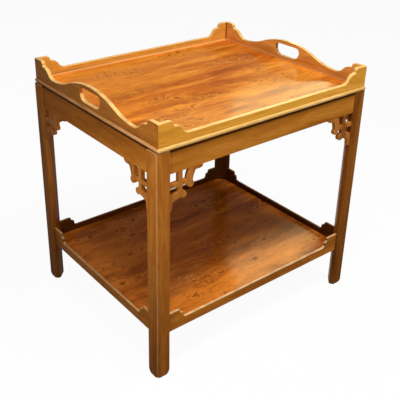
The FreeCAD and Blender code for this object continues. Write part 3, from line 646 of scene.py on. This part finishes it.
for side, grain in SIDES.items():
    rail_wood = Wood("shelf_rail_wood_" + side, grain, **SHELF_RAIL_WOOD, tone=SHELF_RAIL_TONES[grain])
    rail_wood.lay_bands(figure=34.0)
    rail_wood.lay_streaks()
    rail_wood.lay_inner_shade()
    rail_wood.rub_and_light_edges(SHELF_RAIL_RUBS_LIT_AND_SHADED[side])
    rail = eased_copy("shelf_rail_" + side, SHELF_RAIL_EASE, rubbed_lit_too=facing_up, shade_dark=facing_in,
                      rubbed_lit_share=SHELF_RAIL_RUB_LIGHT_SHARE)
    rail.data.materials.append(rail_wood.finished(shine=0.008))


# The tray's floor is one veneered board with streaky, knotted figure along the table, under a gloss
# varnish. The gallery and the bead are fixed round it.
TRAY_WOOD = dict(pale=(0.91, 0.328, 0.036), mid=(0.64, 0.168, 0.015), dark=(0.35, 0.071, 0.005))
TRAY_KNOTS = dict(shade=(0.27, 0.066, 0.008), share=0.85)
TRAY_SAPWOOD = ((-0.20, 0.15, 0.15), (-0.17, -0.20, 0.08), (0.10, 0.20, 0.10), (0.24, -0.10, 0.10))
TRAY_LEAF = (2.2, 0.7, 0.0)

tray_veneer = Wood("tray_veneer", "x", **TRAY_WOOD)
tray_clusters = gather_knots(tray_veneer)
tray_veneer.lay_bands(**VENEER_BANDS, shift=TRAY_LEAF)
lay_sapwood(tray_veneer, TRAY_SAPWOOD)
tray_veneer.lay_streaks()
lay_knots(tray_veneer, tray_clusters, **TRAY_KNOTS)
give_finish("tray_board", tray_veneer.finished(gloss=0.12, shine=0.005))


# The gallery stands round the tray, mitred at its corners. The long sides dip between stepped ears, and
# the ends rise in a curve over a hand hole. The upper edges are rounded by hand and have rubbed pale,
# with a painted highlight. The long boards are painted as lit and the end boards as shaded, the end
# boards' inner faces are painted paler as light, and the inner corners carry painted shade.
GALLERY_EASE = 0.0012
# Painted light and shade: the long boards are coloured as lit, the end boards as shaded.
GALLERY_LIT_AND_SHADED_WOOD = {"x": dict(pale=(0.84, 0.420, 0.056), mid=(0.73, 0.330, 0.038), dark=(0.50, 0.190, 0.018)),
                "y": dict(pale=(0.45, 0.168, 0.024), mid=(0.35, 0.116, 0.014), dark=(0.22, 0.060, 0.007))}
# The rub on the upper edges is edge wear with a painted highlight.
GALLERY_RUB_HIGHLIGHT = (0.97, 0.62, 0.22)
# Painted light: the inner faces are made paler, most of all on the end boards.
INNER_PAINTED_LIGHT = {"x": (0.98, 1.00, 1.40), "y": (2.55, 3.75, 6.30)}
INSIDE = (-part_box("gallery_left")[1][0], -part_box("gallery_front")[1][1])
GALLERY_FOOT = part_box("gallery_front")[0][2]
HIDDEN_BELOW = GALLERY_FOOT + 0.0002
TIGHT_MITRE = math.radians(100)
NEAR_FACE_SHARE = 0.9
INNER_FACE_RANGE = (-0.0010, -0.0004)
# Painted shade darkens the inner corners, and the same colour draws the dark mitre joints.
CORNER_SHADE_AND_JOINT_DARK = (0.27, 0.066, 0.008)
CORNER_SHADE_RANGE = (0.0050, 0.0010)
CORNER_SHADE_SHARE = 0.75
MITRE_RANGE = (0.0070, 0.0084)
MITRE_SHARE = 0.60
# Painted highlight: a pale line along the foot of the inner faces.
FOOT_GLINT = (1.0, 0.74, 0.34)
FOOT_GLINT_RANGE = (0.0042, 0.0030)
FOOT_GLINT_SHARE = 0.6


def finish_inside(wood, grain):
    """Inner faces: painted light on the ends, painted shade in corners, dark mitres, a painted foot glint.
    """
    size = wood.add("ShaderNodeVectorMath", {0: wood.where}, operation="ABSOLUTE").outputs[0]
    out = wood.add("ShaderNodeSeparateXYZ", {0: size}).outputs
    beside = [wood.maths("SUBTRACT", INSIDE[axis], out[axis]) for axis in (0, 1)]
    indoors = wood.spread(wood.maths("MINIMUM", *beside), *INNER_FACE_RANGE)
    wood.lay(INNER_PAINTED_LIGHT[grain], indoors, kind="MULTIPLY")
    wood.lay(CORNER_SHADE_AND_JOINT_DARK, CORNER_SHADE_SHARE, wood.spread(wood.maths("MAXIMUM", *beside), *CORNER_SHADE_RANGE), indoors)
    if grain == "y":
        mitre = wood.spread(out[1], *(INSIDE[1] + part for part in MITRE_RANGE))
        wood.lay(CORNER_SHADE_AND_JOINT_DARK, MITRE_SHARE, mitre)
    foot = wood.spread(out[2], *(GALLERY_FOOT + part for part in FOOT_GLINT_RANGE))
    wood.lay(FOOT_GLINT, FOOT_GLINT_SHARE, foot, indoors)


def on_the_faces(side):
    """A test for the edges of a board's outline and hand hole, and not for its mitres and hidden foot."""
    low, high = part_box("gallery_" + side)
    across = 1 if SIDES[side] == "x" else 0
    middle = (low[across] + high[across]) / 2
    near_face = (high[across] - low[across]) / 2 * NEAR_FACE_SHARE

    def test(edge):
        open_to_hands = all(vert.co.z > HIDDEN_BELOW for vert in edge.verts)
        at_a_face = all(abs(vert.co[across] - middle) > near_face for vert in edge.verts)
        return open_to_hands and at_a_face and edge.calc_face_angle() < TIGHT_MITRE

    return test


gallery_wood = {}
for grain, shades in GALLERY_LIT_AND_SHADED_WOOD.items():
    wood = Wood("gallery_wood_" + grain, grain, **shades)
    wood.lay_bands(figure=24.0)
    wood.lay_streaks()
    finish_inside(wood, grain)
    wood.rub_and_light_edges(GALLERY_RUB_HIGHLIGHT)
    gallery_wood[grain] = wood.finished()
for side, grain in SIDES.items():
    gallery = eased_copy("gallery_" + side, GALLERY_EASE, on_the_faces(side), facing_up)
    gallery.data.materials.append(gallery_wood[grain])


# A shallow bead, planed from the solid, is glued and mitred round the edge of the tray's board. Its
# edges are crisp, and its lower part is painted dark as shade over the gap. The long beads are painted
# pale as a highlight and the end beads darker as shade.
# Painted light and shade: the long beads are coloured as highlit, the end beads as shaded.
BEAD_LIT_AND_SHADED_WOOD = {"x": dict(pale=(0.86, 0.570, 0.210), mid=(0.78, 0.470, 0.140), dark=(0.54, 0.260, 0.050)),
             "y": dict(pale=(0.72, 0.370, 0.150), mid=(0.62, 0.280, 0.090), dark=(0.40, 0.150, 0.030))}
BEAD_EASE = 0.0
BEAD_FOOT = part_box("bead_front")[0][2]
BEAD_SHADE_RANGE = {"x": (0.0025, -0.0005), "y": (0.0055, 0.0015)}
BEAD_SHADE_SHARE = 0.72

bead_wood = {}
for grain, shades in BEAD_LIT_AND_SHADED_WOOD.items():
    wood = Wood("bead_wood_" + grain, grain, **shades)
    wood.lay_bands(figure=60.0)
    wood.lay_streaks()
    # Painted shade on the bead's lower part, over the gap.
    under = wood.spread(wood.place[2], *(BEAD_FOOT + part for part in BEAD_SHADE_RANGE[grain]))
    wood.lay(GAP_SHADE, BEAD_SHADE_SHARE, under)
    bead_wood[grain] = wood.finished(gloss=0.20, shine=0.03)
for side, grain in SIDES.items():
    bead = eased_copy("bead_" + side, BEAD_EASE, nothing)
    bead.data.materials.append(bead_wood[grain])


# Two battens of bare softwood are screwed under the tray. They drop inside the frieze and keep the tray
# in its place on the stand.
batten_wood = Wood("batten_wood", "y", **BARE_WOOD)
batten_wood.lay_bands(figure=40.0)
batten_wood.lay_streaks()
batten_finish = batten_wood.finished(**PLANED)
for end in ENDS["x"]:
    give_finish("tray_batten_" + end, batten_finish)
